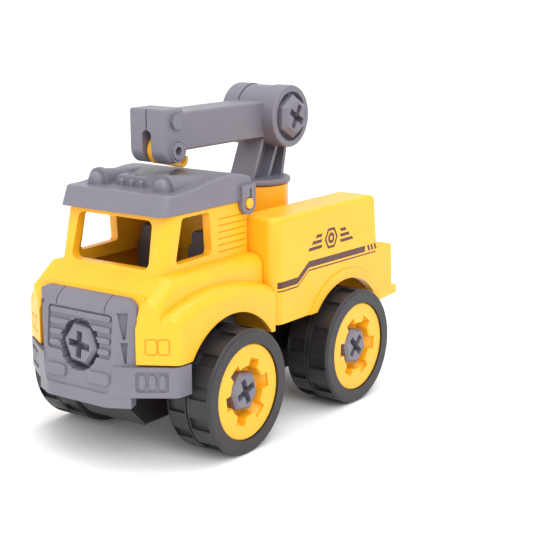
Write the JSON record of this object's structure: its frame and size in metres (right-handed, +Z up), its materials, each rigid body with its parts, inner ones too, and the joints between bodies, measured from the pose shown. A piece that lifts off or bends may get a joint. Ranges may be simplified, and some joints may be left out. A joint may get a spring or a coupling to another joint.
{
  "type": "toy tow truck",
  "caption": "Toy tow truck with a cab, service body, slewing turret, luffing crane boom, tow hook and four free-turning wheels, held by large plastic screws",
  "frame": {"origin": "centre of the bounding box at the bottom: on the ground under the middle of the truck", "axes": "+X forward, +Y to the truck's left, +Z up"},
  "size_m": [0.1556, 0.0852, 0.1257],
  "materials": {
    "yellow_plastic": "satin moulded plastic",
    "grey_plastic": "satin moulded plastic",
    "dark_plastic": "matt moulded plastic",
    "black_plastic": "matt moulded plastic",
    "tyre": "semi-matt soft plastic"
  },
  "bodies": {
    "truck": {"chassis": "black_plastic", "cab_body": "yellow_plastic", "cab_interior": "dark_plastic", "roof": "grey_plastic", "front_grille": "grey_plastic", "grille_screw": "grey_plastic", "service_body": "yellow_plastic", "bed_screw": "grey_plastic", "front_left_wheel_screw": "grey_plastic", "front_right_wheel_screw": "grey_plastic", "rear_left_wheel_screw": "grey_plastic", "rear_right_wheel_screw": "grey_plastic"},
    "turret": {"turret_mast": "grey_plastic", "turret_screw": "grey_plastic"},
    "boom": {"boom_left_half": "grey_plastic", "boom_right_half": "grey_plastic", "boom_pivot_screw": "grey_plastic", "boom_pivot_nut": "grey_plastic", "head_bolt": "grey_plastic", "head_nut": "grey_plastic", "hook_pin": "grey_plastic"},
    "hook": {"hook": "yellow_plastic"},
    "front_left_wheel": {"front_left_tyre": "tyre", "front_left_rim": "yellow_plastic"},
    "front_right_wheel": {"front_right_tyre": "tyre", "front_right_rim": "yellow_plastic"},
    "rear_left_wheel": {"rear_left_tyre": "tyre", "rear_left_rim": "yellow_plastic"},
    "rear_right_wheel": {"rear_right_tyre": "tyre", "rear_right_rim": "yellow_plastic"}
  },
  "joints": [
    {"name": "front_left_wheel_spin", "type": "hinge", "parent": "truck", "child": "front_left_wheel", "pos_m": [0.0343, 0.033, 0.023], "axis": [0, 1, 0], "continuous": true},
    {"name": "front_right_wheel_spin", "type": "hinge", "parent": "truck", "child": "front_right_wheel", "pos_m": [0.0343, -0.033, 0.023], "axis": [0, 1, 0], "continuous": true},
    {"name": "rear_left_wheel_spin", "type": "hinge", "parent": "truck", "child": "rear_left_wheel", "pos_m": [-0.0383, 0.033, 0.023], "axis": [0, 1, 0], "continuous": true},
    {"name": "rear_right_wheel_spin", "type": "hinge", "parent": "truck", "child": "rear_right_wheel", "pos_m": [-0.0383, -0.033, 0.023], "axis": [0, 1, 0], "continuous": true},
    {"name": "turret_slew", "type": "hinge", "parent": "truck", "child": "turret", "pos_m": [-0.0267, 0, 0.087], "axis": [0, 0, 1], "continuous": true},
    {"name": "boom_luff", "type": "hinge", "parent": "turret", "child": "boom", "pos_m": [-0.0337, 0, 0.1135], "axis": [0, -1, 0], "range_deg": [0, 70]},
    {"name": "hook_swing", "type": "hinge", "parent": "boom", "child": "hook", "pos_m": [0.0306, 0, 0.1064], "axis": [0, 1, 0], "range_deg": [-2, 8]}
  ]
}
